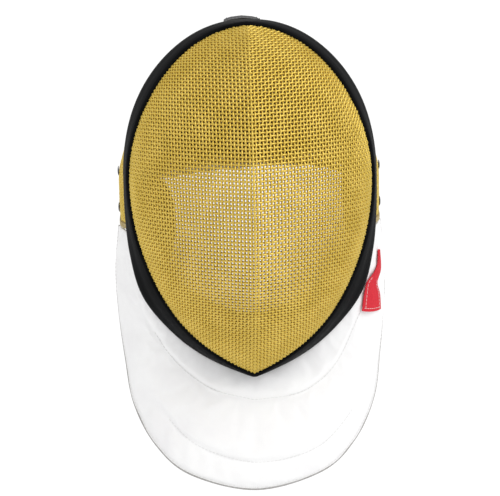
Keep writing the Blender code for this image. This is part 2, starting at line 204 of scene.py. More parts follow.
def rim_half_width(z):
    """Half the rim's width at a height: a soft ellipse above its widest line, a point below it."""
    if z >= RIM_WIDEST_Z:
        rise = min(1.0, (z - RIM_WIDEST_Z) / (RIM_TOP_Z - RIM_WIDEST_Z))
        return RIM_HALF_WIDTH * (1 - rise**RIM_ROUNDNESS) ** (1 / RIM_ROUNDNESS)
    fall = min(1.0, (RIM_WIDEST_Z - z) / (RIM_WIDEST_Z - CHIN_Z))
    left = 1.0
    for part, lateness in CHIN_TAPERS:
        left -= part * fall**lateness
    return RIM_HALF_WIDTH * left


def face_at(swing, rise):
    """A point on the face's outside, by its swing from the crease and its rise from the nose."""
    height = math.sin(rise)
    if rise >= 0:
        z = NOSE_Z + (RIM_TOP_Z - NOSE_Z) * height
        lost = BROW_SLOPE * height**2 + BROW_ROUND * (1 - math.cos(rise))
    else:
        z = NOSE_Z + (NOSE_Z - CHIN_Z) * height
        lost = height**2
    across = math.sin(swing)
    lost_across = CREASE_SHARE * abs(across) + (1 - CREASE_SHARE) * (1 - math.cos(swing))
    depth = FACE_DEPTH * (1 - lost) * (1 - lost_across)
    return Vector((rim_half_width(z) * across, RIM_Y - depth, z))


def close_in(near, far, rounds, falls_short):
    """Halves a range so many times round the place up to which falls_short(place) holds."""
    for _ in range(rounds):
        middle = (near + far) / 2
        if falls_short(middle):
            near = middle
        else:
            far = middle
    return near, far


def walk_wire(surface, path, inside):
    """Places along path(way), a pitch apart on the surface, for as long as they are inside."""
    places = [path(0.0)]
    way = 0.0
    while True:
        start = surface(*places[-1])
        way = close_in(
            way,
            way + NET_REACH,
            rounds=30,
            falls_short=lambda way: (surface(*path(way)) - start).length < WIRE_PITCH,
        )[1]
        if not inside(*path(way)):
            return places
        places.append(path(way))


def close_cell(surface, hold, place, neighbours):
    """The place near a first guess that lies a pitch from both neighbours, or None."""
    points = [surface(*neighbour) for neighbour in neighbours]
    for _ in range(CELL_TRIES):
        place = hold(*place)
        here = surface(*place)
        misses = [(here - point).length_squared - WIRE_PITCH**2 for point in points]
        if max(abs(miss) for miss in misses) < CELL_MISS:
            return place
        slopes = (
            (surface(place[0] + NUDGE, place[1]) - here) / NUDGE,
            (surface(place[0], place[1] + NUDGE) - here) / NUDGE,
        )
        (a, b), (c, d) = [[2 * (here - point).dot(slope) for slope in slopes] for point in points]
        turn = a * d - b * c
        if abs(turn) < 1e-14:
            return None
        step = ((misses[1] * b - misses[0] * d) / turn, (misses[0] * c - misses[1] * a) / turn)
        shorten = min(1.0, CELL_STEP / max(abs(step[0]), abs(step[1]), 1e-9))
        place = (place[0] + step[0] * shorten, place[1] + step[1] * shorten)
    return None


def lay_net(surface, hold, inside, across, ways_up):
    """The crossings of a wire cloth's right half, as places on its surface by (column, row)."""
    net = {(column, 0): place for column, place in enumerate(walk_wire(surface, across, inside))}
    for side, up in ways_up:
        stem = walk_wire(surface, up, inside)
        net.update({(0, side * row): place for row, place in enumerate(stem)})
        for column in range(1, NET_COLUMNS):
            for row in range(1, len(stem) + NET_SPARE_ROWS):
                beside = net.get((column - 1, side * row))
                under = net.get((column, side * (row - 1)))
                corner = net.get((column - 1, side * (row - 1)))
                if beside is None or under is None or corner is None:
                    continue
                guess = (beside[0] + under[0] - corner[0], beside[1] + under[1] - corner[1])
                place = close_cell(surface, hold, guess, (beside, under))
                if place and inside(*place):
                    net[column, side * row] = place
    return net


def wire_crossings(surface, net):
    """Each crossing's point in the middle of the cloth and its way out, for both halves."""
    crossings = {}
    for (column, row), (u, v) in net.items():
        point = surface(u, v)
        out = (surface(u + NUDGE, v) - point).cross(surface(u, v + NUDGE) - point).normalized()
        if column == 0:
            out.x = 0.0
            out.normalize()
        if out.dot(point - NET_CENTRE) < 0:
            out.negate()
        point = point - out * MESH_WALL / 2
        crossings[column, row] = (point, out)
        if column:
            crossings[-column, row] = (MIRROR @ point, MIRROR @ out)
    return crossings


def lay_strands(name, strands, radius, material):
    """One curve object of round wire, cord or thread, with a strand for each list of points."""
    curve = bpy.data.curves.new(name, "CURVE")
    curve.dimensions = "3D"
    curve.bevel_depth = radius
    curve.bevel_resolution = 1
    curve.use_fill_caps = True
    for points in strands:
        spline = curve.splines.new("POLY")
        spline.points.add(len(points) - 1)
        spline.points.foreach_set("co", [x for point in points for x in (*point, 1.0)])
    curve.materials.append(material)
    return bring_in(name, curve)


def weave_strands(crossings, along_rows, wanted=lambda line: True):
    """The wires along the wanted rows or columns of the net, each waving over and under the ones
    that it crosses. A wire stops where the net has a gap, and starts again past it."""
    which = 1 if along_rows else 0
    strands = []
    for line in sorted({key[which] for key in crossings if wanted(key[which])}):
        runs = [[]]
        for key in sorted(key for key in crossings if key[which] == line):
            if runs[-1] and sum(key) - sum(runs[-1][-1]) > 1:
                runs.append([])
            runs[-1].append(key)
        for run in runs:
            if len(run) < 2:
                continue
            first, second = crossings[run[0]][0], crossings[run[1]][0]
            points = [first - (second - first) * WIRE_END]
            for index, key in enumerate(run):
                point, out = crossings[key]
                over = 1 if (sum(key) % 2 == 0) == along_rows else -1
                lifted = point + out * over * WIRE_WAVE
                for step in (-1, 1):
                    next_index = min(max(index + step, 0), len(run) - 1)
                    if next_index != index:
                        bend = (crossings[run[next_index]][0] - point) * WIRE_BEND
                        points.append(lifted + bend)
            last, previous = crossings[run[-1]][0], crossings[run[-2]][0]
            points.append(last - (previous - last) * WIRE_END)
            strands.append(points)
    return strands


def vary_roughness(material, shader, share, smooth, rough):
    """Lets the shader's roughness follow a share, from smooth to rough."""
    inputs = {"Value": share, "To Min": smooth, "To Max": rough}
    spread = add_node(material, "ShaderNodeMapRange", inputs)
    material.node_tree.links.new(spread.outputs["Result"], shader.inputs["Roughness"])


def add_bump(material, shader, layers):
    """Bumps on the shader, one on another; a layer is its height, strength and depth in metres."""
    normal = None
    for height, strength, depth in layers:
        inputs = {"Height": height, "Strength": strength, "Distance": depth}
        if normal:
            inputs["Normal"] = normal
        normal = add_node(material, "ShaderNodeBump", inputs).outputs["Normal"]
    material.node_tree.links.new(normal, shader.inputs["Normal"])


gilded_wire, shader, _ = start_material(
    "gilded_wire", 0.40, 55.0, dark=(0.63, 0.455, 0.085), light=(0.71, 0.525, 0.115), metallic=1.0
)
drawn = add_noise(gilded_wire, 1500.0, 2.0)
vary_roughness(gilded_wire, shader, drawn, 0.32, 0.50)
add_bump(gilded_wire, shader, [(drawn, 0.15, 0.00005)])
face_net = lay_net(
    face_at,
    lambda u, v: (min(FACE_LAID[0], max(0.0, u)), min(FACE_LAID[2], max(FACE_LAID[1], v))),
    lambda u, v: abs(u) < FACE_KEPT[0] and FACE_KEPT[1] < v < FACE_KEPT[2],
    lambda way: (way, 0.0),
    ((1, lambda way: (0.0, way)), (-1, lambda way: (0.0, -way))),
)
face_crossings = wire_crossings(face_at, face_net)
for name, along_rows, wanted in (
    ("face_wires_across_upper", True, lambda row: row >= 0),
    ("face_wires_across_lower", True, lambda row: row < 0),
    ("face_wires_upright_left", False, lambda column: column < 0),
    ("face_wires_upright_right", False, lambda column: column >= 0),
):
    strands = weave_strands(face_crossings, along_rows, wanted)
    wires = lay_strands(name, strands, WIRE_RADIUS, gilded_wire)
    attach(wires, "root")
    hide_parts("face_mesh")

# ---------------------------------------------------------------------------------------------
# The crown: the same wire cloth over the top and sides of the head, closing round its back, with
# an ear on each side. It is clamped with the face's edge under the rim's cover.
CROWN_LENGTH = 0.115
CROWN_FULLEST = 0.050
CROWN_SWELL_START = 0.006
BACK_EDGE_Z = -0.107
BACK_EDGE_SHARE = 0.4506
EAR_BOTTOM_SHARE = 0.560
CROWN_FRONT = 0.003
CROWN_SWELL_ROWS = (
    # share of the way from top to chin, swell
    (0.00, 0.0),
    (0.10, 0.0012),
    (0.20, 0.0037),
    (0.27, 0.0056),
    (0.34, 0.0063),
    (0.41, 0.0065),
    (0.455, 0.0097),
    (0.50, 0.0106),
    (0.56, 0.0128),
)
CROWN_EDGE_ROWS = (
    # height, distance behind the rim
    (-0.1477, 0.0175),
    (-0.1462, 0.0430),
    (-0.1420, 0.0560),
    (-0.1330, 0.0640),
    (-0.1240, 0.0720),
    (-0.1150, 0.0880),
    (-0.1100, 0.1020),
    (-0.1070, 0.1150),
)
CROWN_SINK = 0.0003
CROWN_EDGE_FREE = 0.0005
CROWN_NET_START = 1.08
CROWN_NET_SPARE = 0.012
CROWN_NET_EYE = 0.02
RIM_STEPS = 300
RIM_LOOK = 0.012


def smooth_step(value):
    value = min(1.0, max(0.0, value))
    return value * value * (3 - 2 * value)


def bend_between(start, lead, end, follow, t):
    """A smooth curve from start to end, which leaves along lead and arrives along follow."""
    return (
        start * (1 + 2 * t) * (1 - t) ** 2
        + lead * t * (1 - t) ** 2
        + end * t * t * (3 - 2 * t)
        + follow * t * t * (t - 1)
    )


def read_row(rows, key, column):
    """A column of a table at key, on a smooth curve through its rows; the first column is keys."""
    key = min(rows[-1][0], max(rows[0][0], key))
    index = max(i for i in range(len(rows) - 1) if rows[i][0] <= key)
    slopes = []
    for i in (index, index + 1):
        before, after = rows[max(0, i - 1)], rows[min(len(rows) - 1, i + 1)]
        slopes.append((after[column] - before[column]) / (after[0] - before[0]))
    start, end = rows[index], rows[index + 1]
    span = end[0] - start[0]
    leads = [slope * span for slope in slopes]
    return bend_between(start[column], leads[0], end[column], leads[1], (key - start[0]) / span)


def trace_half_rim():
    """Points down the right half of the rim from top to chin, and their shares of its length."""
    rise, fall = RIM_TOP_Z - RIM_WIDEST_Z, CHIN_Z - RIM_WIDEST_Z
    turns = [math.pi / 2 * step / RIM_STEPS for step in range(RIM_STEPS)]
    heights = [RIM_WIDEST_Z + rise * math.cos(turn) for turn in turns]
    heights += [RIM_WIDEST_Z + fall * step / RIM_STEPS for step in range(RIM_STEPS + 1)]
    points = [Vector((rim_half_width(z), z)) for z in heights]
    lengths = [0.0]
    for before, after in zip(points, points[1:]):
        lengths.append(lengths[-1] + (after - before).length)
    return points, [length / lengths[-1] for length in lengths]


half_rim, half_rim_shares = trace_half_rim()


def rim_place(share):
    """(x, z) on the rim: share runs from 0 at the top to 1 at the chin, negative on the left."""
    share = (share + 1) % 2 - 1
    side = -1 if share < 0 else 1
    past = min(bisect.bisect_right(half_rim_shares, abs(share)), len(half_rim) - 1)
    start, end = half_rim_shares[past - 1], half_rim_shares[past]
    place = half_rim[past - 1].lerp(half_rim[past], (abs(share) - start) / (end - start))
    return Vector((side * place.x, place.y))


def rim_outward(share):
    """The way out from the rim, square to its line, as (x, z)."""
    along = rim_place(share + RIM_LOOK) - rim_place(share - RIM_LOOK)
    return Vector((-along.y, along.x)).normalized()


def rim_point(share, out, behind):
    """A point out from the rim, square to its line, and behind its plane."""
    flat = rim_place(share) + rim_outward(share) * out
    return Vector((flat.x, RIM_Y + behind, flat.y))


def crown_length(share):
    """How far back the crown runs: to the back of the head above, and only past the ears below."""
    return read_row(CROWN_EDGE_ROWS, rim_place(share).y, 1)


def crown_swell(share, behind):
    """How far the crown stands out past the rim."""
    grown = smooth_step((behind - CROWN_SWELL_START) / (CROWN_FULLEST - CROWN_SWELL_START))
    return read_row(CROWN_SWELL_ROWS, share, 1) * grown


def crown_point(share, behind):
    """A point on the crown's outside, at a share round the rim and a distance behind it."""
    swell = crown_swell(abs(share), behind)
    past = max(0.0, behind - CROWN_FULLEST) / (CROWN_LENGTH - CROWN_FULLEST)
    closing = math.sqrt(max(0.0, 1 - past**2))
    point = rim_point(share, swell - CROWN_SINK, behind)
    point.x *= closing
    if point.z > BACK_EDGE_Z:
        point.z = BACK_EDGE_Z + (point.z - BACK_EDGE_Z) * closing
    return point


def crown_place(side_way, top_way):
    """(share, distance behind the rim) of a place on the crown's net, which has polar ways from
    the middle of the back edge: straight up the middle, and out to the sides."""
    away = math.hypot(side_way, top_way)
    share = BACK_EDGE_SHARE * math.atan2(side_way, top_way) / (math.pi / 2)
    rest = math.pi / 2 - away
    past = math.sin(rest) if rest > 0 else rest
    return share, CROWN_FULLEST + (CROWN_LENGTH - CROWN_FULLEST) * past


def crown_at(side_way, top_way):
    """A point on the crown's outside, by its place on the net."""
    return crown_point(*crown_place(side_way, top_way))


def near_crown(side_way, top_way, spare=CROWN_NET_SPARE):
    """Whether a place on the net is on the crown, or no further than the spare distance off it."""
    if side_way < -1e-6 or math.hypot(side_way, top_way) < CROWN_NET_EYE:
        return False
    share, behind = crown_place(side_way, top_way)
    if share > EAR_BOTTOM_SHARE + 2 * spare or behind < CROWN_FRONT - spare:
        return False
    return behind < crown_length(min(share, EAR_BOTTOM_SHARE)) - CROWN_EDGE_FREE + spare


def ear_to_ear(way):
    """The net's middle wire, which runs from the middle of the crown round to the ear."""
    away = math.atan2(math.tan(CROWN_NET_START), math.cos(way))
    return (away * math.sin(way), away * math.cos(way))


crown_net = lay_net(
    crown_at,
    lambda u, v: (max(0.0, u), v),
    near_crown,
    ear_to_ear,
    (
        (1, lambda way: (0.0, CROWN_NET_START + way)),
        (-1, lambda way: (0.0, CROWN_NET_START - way)),
    ),
)
crown_net = {key: place for key, place in crown_net.items() if near_crown(*place, spare=0.0)}
crown_crossings = wire_crossings(crown_at, crown_net)
for name, along_rows in (("crown_wires_across", True), ("crown_wires_lengthways", False)):
    strands = weave_strands(crown_crossings, along_rows)
    wires = lay_strands(name, strands, WIRE_RADIUS, gilded_wire)
    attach(wires, "root")
    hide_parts("crown_mesh")

# ---------------------------------------------------------------------------------------------
# The rim's cover: black vinyl over a roll of padding, clamped over the joint of face and crown,
# with a lip that presses on the wire. It is fullest on the cheeks and thins out at the chin.
TRIM_BACK = 0.0140
TRIM_LIP_THICK = 0.0014
TRIM_GAP = 0.0006
TRIM_SINK = 0.0014
TRIM_ROWS = (
    # share of the way from top to chin, reach, lip
    (0.00, 0.0028, 0.0060),
    (0.13, 0.0058, 0.0070),
    (0.28, 0.0070, 0.0090),
    (0.46, 0.0050, 0.0040),
    (0.54, 0.0066, 0.0055),
    (0.62, 0.0102, 0.0085),
    (0.71, 0.0140, 0.0100),
    (0.80, 0.0108, 0.0100),
    (0.92, 0.0060, 0.0085),
    (1.00, 0.0016, 0.0030),
)
TRIM_COLUMNS = 240
TRIM_CORNERS = 16
FACE_INSET_MOST = 0.03


def bend_grid(columns, rows, surface):
    """A flat grid with a UV map, bent onto surface(u, v), its closing edges and poles merged."""
    grid = bmesh.new()
    grid.loops.layers.uv.new("UVMap")
    bmesh.ops.create_grid(grid, x_segments=columns, y_segments=rows, size=0.5, calc_uvs=True)
    for vert in grid.verts:
        vert.co = surface(vert.co.x + 0.5, vert.co.y + 0.5)
    bmesh.ops.remove_doubles(grid, verts=grid.verts, dist=1e-6)
    bmesh.ops.recalc_face_normals(grid, faces=grid.faces)
    return grid


def turn_outward(source):
    """Turns a closed bmesh's faces outward."""
    bmesh.ops.recalc_face_normals(source, faces=source.faces)
    if source.calc_volume(signed=True) < 0:
        bmesh.ops.reverse_faces(source, faces=source.faces)


def subdivide(obj):
    """Rounds a piece off with one level of subdivision."""
    smoother = obj.modifiers.new("round", "SUBSURF")
    smoother.levels = 1
    smoother.render_levels = 1


def trim_row(share, column):
    """The cover's reach (1) or lip (2) at a share round the rim."""
    return read_row(TRIM_ROWS, abs((share + 1) % 2 - 1), column)


def face_depth(x, z):
    """How far the face stands in front of the rim's plane."""
    if z > NOSE_Z:
        rise = min(1.0, (z - NOSE_Z) / (RIM_TOP_Z - NOSE_Z))
        lost = BROW_SLOPE * rise**2 + BROW_ROUND * (1 - math.sqrt(1 - rise**2))
    else:
        lost = min(1.0, (NOSE_Z - z) / (NOSE_Z - CHIN_Z)) ** 2
    across = min(1.0, abs(x) / max(rim_half_width(z), 1e-6))
    lost_across = CREASE_SHARE * across + (1 - CREASE_SHARE) * (1 - math.sqrt(1 - across**2))
    return FACE_DEPTH * (1 - lost) * (1 - lost_across)


def face_inset(share, forward):
    """How far in from the rim the face is at a distance forward of the rim's plane."""
    middle, outward = rim_place(share), rim_outward(share)
    return close_in(
        0.0,
        FACE_INSET_MOST,
        rounds=24,
        falls_short=lambda inset: face_depth(*(middle - outward * inset)) < forward,
    )[0]


def trim_corners(share):
    """The corners of the cover's closed section, from its lip over the roll to its back and home
    inside: how far each is out from the rim, and how far behind its plane."""
    reach = trim_row(share, 1)
    lip = trim_row(share, 2)
    edge = TRIM_GAP - face_inset(share, lip)
    thick = TRIM_LIP_THICK
    return (
        (edge - TRIM_SINK, -lip + 0.0003),
        (edge - 0.5 * TRIM_SINK + 0.20 * thick, -lip - 0.0004),
        (edge + 1.05 * thick, -lip - 0.0003),
        (edge + 1.50 * thick, -lip + 0.0010),
        (0.30 * (edge + 1.5 * thick) + 0.30 * reach + 0.0010, -0.35 * lip + 0.0005),
        (0.45 * reach + 0.0012, 0.0020),
        (0.78 * reach + 0.0009, 0.0068),
        (reach - 0.0002, TRIM_BACK - 0.0040),
        (reach + 0.0001, TRIM_BACK - 0.0022),
        (reach - 0.0002, TRIM_BACK - 0.0008),
        (reach - 0.0010, TRIM_BACK),
        (min(0.0020, reach - 0.0013), TRIM_BACK),
        (min(0.0013, reach - 0.0015), TRIM_BACK - 0.0006),
        (0.5 * TRIM_GAP + 0.0006, 0.5 * TRIM_BACK),
        (TRIM_GAP, 0.0),
        (TRIM_GAP - TRIM_SINK - face_inset(share, lip / 2), -lip / 2),
    )


def trim_mesh():
    """The cover as a closed ring: its section taken once round the rim."""
    corners = {}

    def surface(round_share, section_share):
        share = 2 * round_share - 1
        if share not in corners:
            corners[share] = trim_corners(share)
        section = corners[share]
        out, behind = section[round(section_share * len(section)) % len(section)]
        return rim_point(share, out, behind)

    grid = bend_grid(TRIM_COLUMNS, TRIM_CORNERS, surface)
    turn_outward(grid)
    return grid


black_vinyl, shader, worn = start_material(
    "black_vinyl", 0.5, 38.0, dark=(0.0030, 0.0032, 0.0035), light=(0.0055, 0.0058, 0.0065)
)
shader.inputs["Specular IOR Level"].default_value = 0.02
vary_roughness(black_vinyl, shader, worn, 0.42, 0.58)
pebbles = {"Vector": object_place(black_vinyl), "Scale": 900.0}
grain = add_node(black_vinyl, "ShaderNodeTexVoronoi", pebbles).outputs["Distance"]
slack = add_noise(black_vinyl, 160.0)
add_bump(black_vinyl, shader, [(slack, 0.35, 0.0006), (grain, 0.30, 0.0001)])
rim_cover = finish_mesh("rim_cover", trim_mesh(), black_vinyl, sharp_angle=180)
subdivide(rim_cover)
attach(rim_cover, "root")
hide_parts("rim_trim")

# ---------------------------------------------------------------------------------------------
# The crown's free edge is bound in a tan woven tape, folded over the ends of the wires, from the
# foot of one ear round the back to the foot of the other.
EDGE_TAPE_COLUMNS = 56
EDGE_TAPE_STEPS = 4
EDGE_TAPE_WIDTH = 0.0045
EDGE_TAPE_THICK = 0.004
EDGE_TAPE_GAP = 0.0010
# Distances behind the rim of the tape's points along the foot of each ear.
EDGE_TAPE_FOOT = (0.0155, 0.0215, 0.0275)


def smooth_path(points, steps):
    """A smooth curve through the points, with the given number of steps between each two."""
    curve = []
    last = len(points) - 1
    for index in range(last):
        a, b = points[index], points[index + 1]
        before, after = points[max(0, index - 1)], points[min(last, index + 2)]
        lead, follow = (b - before) / 2, (after - a) / 2
        curve += [bend_between(a, lead, b, follow, step / steps) for step in range(steps)]
    curve.append(points[-1])
    return curve


def round_bar(path, outwards, width, thickness, around=16, squareness=0.35, arches=(0.0, 0.0)):
    """A bar with soft edges along a path; each outward vector is the way its broad side faces.
    The arches are how far the middles of its outer and inner sides stand above their edges."""
    steps = len(path) - 1
    frames = []
    for index, (point, outward) in enumerate(zip(path, outwards)):
        along = path[min(index + 1, steps)] - path[max(index - 1, 0)]
        outward = (outward - outward.project(along)).normalized()
        frames.append((point, along.cross(outward).normalized(), outward))

    def surface(u, v):
        index = round(u * steps)
        point, side, outward = frames[index]
        turn = 2 * math.pi * v
        across = math.copysign(abs(math.cos(turn)) ** squareness, math.cos(turn))
        up = math.copysign(abs(math.sin(turn)) ** squareness, math.sin(turn))
        sink = arches[0 if up > 0 else 1] * across**2
        return point + side * across * width / 2 + outward * (up * thickness / 2 - sink)

    bar = bend_grid(steps, around, surface)
    ends = [edge for edge in bar.edges if edge.is_boundary]
    bmesh.ops.holes_fill(bar, edges=ends, sides=0)
    turn_outward(bar)
    return bar


def edge_tape_path():
    """The middle of the tape and the ways out from it; its points stand closest at the ears."""
    columns = [column / EDGE_TAPE_COLUMNS - 0.5 for column in range(EDGE_TAPE_COLUMNS + 1)]
    shares = [EAR_BOTTOM_SHARE * math.sin(math.pi * column) for column in columns]
    ends = [crown_point(share, crown_length(share)) for share in shares]
    back = ends[EDGE_TAPE_COLUMNS // 2]
    path = [point for point in ends if (point - back).length > NUDGE]
    path.insert(len(path) // 2, back)
    for side in (-1, 1):
        foot = [crown_point(side * EAR_BOTTOM_SHARE, behind) for behind in EDGE_TAPE_FOOT]
        path = foot + path if side < 0 else path + foot[::-1]
    outwards = []
    moved = []
    for index, point in enumerate(path):
        along = path[min(index + 1, len(path) - 1)] - path[max(index - 1, 0)]
        past = max(0.0, point.y - RIM_Y - CROWN_FULLEST) / (CROWN_LENGTH - CROWN_FULLEST) ** 2
        outward = Vector((point.x / RIM_HALF_WIDTH**2, past, 0)).normalized()
        away = outward.cross(along).normalized()
        if away.z > 0:
            away.negate()
        outwards.append(outward)
        moved.append(point + away * (EDGE_TAPE_WIDTH / 2 + EDGE_TAPE_GAP) - outward * MESH_WALL / 2)
    return smooth_path(moved, EDGE_TAPE_STEPS), smooth_path(outwards, EDGE_TAPE_STEPS)


def weave_height(material, threads_along, threads_across):
    """The height of a plain weave on the piece's own UV map, for its bump."""
    place = add_node(material, "ShaderNodeTexCoord").outputs["UV"]
    waves = []
    for direction, threads in (("X", threads_along), ("Y", threads_across)):
        inputs = {"Vector": place, "Scale": threads * math.pi / 10}
        wave = add_node(material, "ShaderNodeTexWave", inputs, bands_direction=direction)
        waves.append(wave.outputs["Fac"])
    inputs = {0: waves[0], 1: waves[1]}
    return add_node(material, "ShaderNodeMath", inputs, operation="MULTIPLY").outputs[0]


tan_tape, shader, _ = start_material(
    "tan_tape", 0.85, 900.0, dark=(0.36, 0.27, 0.11), light=(0.52, 0.41, 0.19)
)
add_bump(tan_tape, shader, [(weave_height(tan_tape, 420, 24), 0.8, 0.0003)])
tape_path, tape_outwards = edge_tape_path()
edge_tape = finish_mesh(
    "edge_tape", round_bar(tape_path, tape_outwards, EDGE_TAPE_WIDTH, EDGE_TAPE_THICK), tan_tape
)
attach(edge_tape, "root")
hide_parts("crown_edge_tape")

# ---------------------------------------------------------------------------------------------
# The padding inside: dark brushed cloth over foam, hung under the crown in sewn channels, with a
# cushion at each ear and a crescent under the chin. It shows through the wire.
GAP = 0.0004
CROWN_PAD_THICK = 0.0055
CROWN_PAD_SHARE = 0.435
CROWN_PAD_FRONT = 0.012
CROWN_PAD_CHANNELS = 9
CROWN_PAD_SWELL = 0.0007
CROWN_PAD_GRID = (108, 20)
EAR_PAD_FRONT = 0.028
EAR_PAD_BACK = 0.064
EAR_PAD_INSET = 0.005
EAR_PAD_GRID = (48, 40)
EAR_PAD_SEWN = 0.3
EAR_PADS = (
    # name, side, and rows from the foot up: height, the inner face's distance from the middle
    (
        "ear_pad_left",
        -1,
        (
            (-0.198, 0.0735),
            (-0.186, 0.0680),
            (-0.1745, 0.0625),
            (-0.1415, 0.0612),
            (-0.125, 0.0650),
            (-0.115, 0.0730),
            (-0.104, 0.0860),
        ),
    ),
    (
        "ear_pad_right",
        1,
        (
            (-0.198, 0.0750),
            (-0.186, 0.0760),
            (-0.168, 0.0762),
            (-0.152, 0.0755),
            (-0.127, 0.0742),
            (-0.113, 0.0765),
            (-0.104, 0.0860),
        ),
    ),
)
CHIN_PAD_THICK = 0.006
CHIN_PAD_OUTSIDE = 0.965
CHIN_PAD_ROWS = (
    # share of the way from top to chin, inner edge's size as a part of the rim's
    (0.66, 0.945),
    (0.70, 0.925),
    (0.76, 0.860),
    (0.86, 0.78),
    (1.00, 0.715),
)
CHIN_PAD_FRONT = 0.004
CHIN_PAD_DEPTH = 0.016
CHIN_PAD_GRID = (96, 10)
PAD_SLIM = 0.0004
PAD_PRESSURE = 3.0
PAD_SPARE = 0.02
SETTLE_FRAMES = 20
PAD_CENTRE = Vector((0, 0, -0.12))


def padded_sheet(columns, rows, surface, wall, inward=0.0, puff=None, sewn=None):
    """A closed sheet of padding on surface(u, v), with a wall toward the head. puff(u, v) is how
    far each side stands off the sheet's own, and sewn(u, v) tells where the two are held."""
    grid = bend_grid(columns, rows, surface)
    held = grid.verts.layers.float.new("held")
    widest = max(grid.faces, key=lambda face: face.calc_area())
    if widest.normal.dot(widest.calc_center_median() - PAD_CENTRE) < 0:
        bmesh.ops.reverse_faces(grid, faces=grid.faces)
    grid.normal_update()
    uv = grid.loops.layers.uv.active
    places = {vert: vert.link_loops[0][uv].uv.copy() for vert in grid.verts}
    normals = {vert: vert.normal.copy() for vert in grid.verts}
    for vert, place in places.items():
        vert[held] = 1.0 if vert.is_boundary or (sewn and sewn(*place)) else 0.0
    inside = bmesh.ops.duplicate(grid, geom=grid.verts[:] + grid.edges[:] + grid.faces[:])
    inner_faces = [part for part in inside["geom"] if isinstance(part, bmesh.types.BMFace)]
    bmesh.ops.reverse_faces(grid, faces=inner_faces)
    edges = [edge for edge in grid.edges if edge.is_boundary]
    for vert, normal in normals.items():
        stands = puff(*places[vert]) if puff else 0.0
        vert.co -= normal * (inward - stands)
        inside["vert_map"][vert].co -= normal * (inward + wall + stands)
    bmesh.ops.bridge_loops(grid, edges=edges)
    turn_outward(grid)
    return grid


def forget_held(mesh):
    """Drops the mark of where a piece is held, once nothing needs it."""
    mesh.attributes.remove(mesh.attributes["held"])


def let_settle(obj, spare, most):
    """Lets a padded piece fill out as cloth, held where it is sewn. Its cloth is cut larger by the
    spare share, and no point moves by more than most."""
    mesh = obj.data
    sewn = [i for i, share in enumerate(mesh.attributes["held"].data) if share.value > 0.5]
    obj.vertex_groups.new(name="sewn").add(sewn, 1.0, "REPLACE")
    cloth = obj.modifiers.new("cloth", "CLOTH")
    cloth.settings.vertex_group_mass = "sewn"
    cloth.settings.quality = 4
    cloth.settings.use_pressure = True
    cloth.settings.uniform_pressure_force = PAD_PRESSURE
    cloth.settings.shrink_min = -spare
    cloth.settings.effector_weights.gravity = 0.0
    cloth.collision_settings.use_collision = False
    cloth.point_cache.frame_end = SETTLE_FRAMES
    for moment in range(1, SETTLE_FRAMES + 1):
        bpy.context.scene.frame_set(moment)
    settled = obj.evaluated_get(bpy.context.evaluated_depsgraph_get()).to_mesh()
    moves = [after.co - before.co for after, before in zip(settled.vertices, mesh.vertices)]
    obj.modifiers.remove(cloth)
    obj.vertex_groups.clear()
    for vert, move in zip(mesh.vertices, moves):
        vert.co += move * min(1.0, most / max(move.length, 1e-9))
    bpy.context.scene.frame_set(1)
    forget_held(mesh)


def crown_pad_surface(u, v):
    """The crown's own surface over the pad, from ear to ear and from front to back."""
    share = CROWN_PAD_SHARE * (2 * u - 1)
    behind = CROWN_PAD_FRONT + (CROWN_LENGTH - CROWN_PAD_FRONT) * math.sin(v * math.pi / 2)
    return crown_point(share, behind)


def crown_pad_puff(u, v):
    """The pad sinks at the seams between its channels and fills out between them."""
    channel = abs(math.sin(CROWN_PAD_CHANNELS * math.pi * u)) ** 0.5 - 0.6
    return CROWN_PAD_SWELL * channel * (1 - v**4)


dark_padding, shader, nap = start_material(
    "dark_padding", 0.95, 1400.0, dark=(0.055, 0.040, 0.008), light=(0.088, 0.066, 0.015), detail=4
)
shader.inputs["Sheen Weight"].default_value = 0.25
shader.inputs["Sheen Roughness"].default_value = 0.5
slack = add_noise(dark_padding, 90.0)
add_bump(dark_padding, shader, [(slack, 0.4, 0.0015), (nap, 0.5, 0.0003)])
crown_pad = finish_mesh(
    "head_padding",
    padded_sheet(
        *CROWN_PAD_GRID,
        crown_pad_surface,
        CROWN_PAD_THICK - 4 * PAD_SLIM,
        MESH_WALL + 2 * GAP + 2 * PAD_SLIM,
        crown_pad_puff,
    ),
    dark_padding,
)
forget_held(crown_pad.data)
subdivide(crown_pad)
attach(crown_pad, "root")
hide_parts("crown_pad")

for name, side, rows in EAR_PADS:
    foot, top = rows[0][0], rows[-1][0]

    def ear_pad_surface(u, v):
        turn = 2 * math.pi * u
        z = foot + (top - foot) * v
        reach = (EAR_PAD_BACK - EAR_PAD_FRONT) / 2 * math.sin(math.pi * v) ** 0.4
        behind = (EAR_PAD_FRONT + EAR_PAD_BACK) / 2 + reach * math.sin(turn)
        inside = read_row(rows, z, 1)
        swell = crown_swell(CROWN_PAD_SHARE, behind)
        outside = rim_half_width(z) + swell - MESH_WALL - EAR_PAD_INSET
        x = inside + (outside - inside) * (0.5 + 0.5 * math.cos(turn))
        return Vector((side * x, RIM_Y + behind, z))

    cushion = bend_grid(*EAR_PAD_GRID, ear_pad_surface)
    held = cushion.verts.layers.float.new("held")
    turn_outward(cushion)
    cushion.normal_update()
    for vert in cushion.verts:
        vert[held] = 1.0 if side * vert.normal.x > EAR_PAD_SEWN else 0.0
        vert.co -= vert.normal * PAD_SLIM
    ear_pad = finish_mesh(name.replace("pad", "cushion"), cushion, dark_padding)
    let_settle(ear_pad, PAD_SPARE, most=0.0010)
    subdivide(ear_pad)
    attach(ear_pad, "root")
    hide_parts(name)


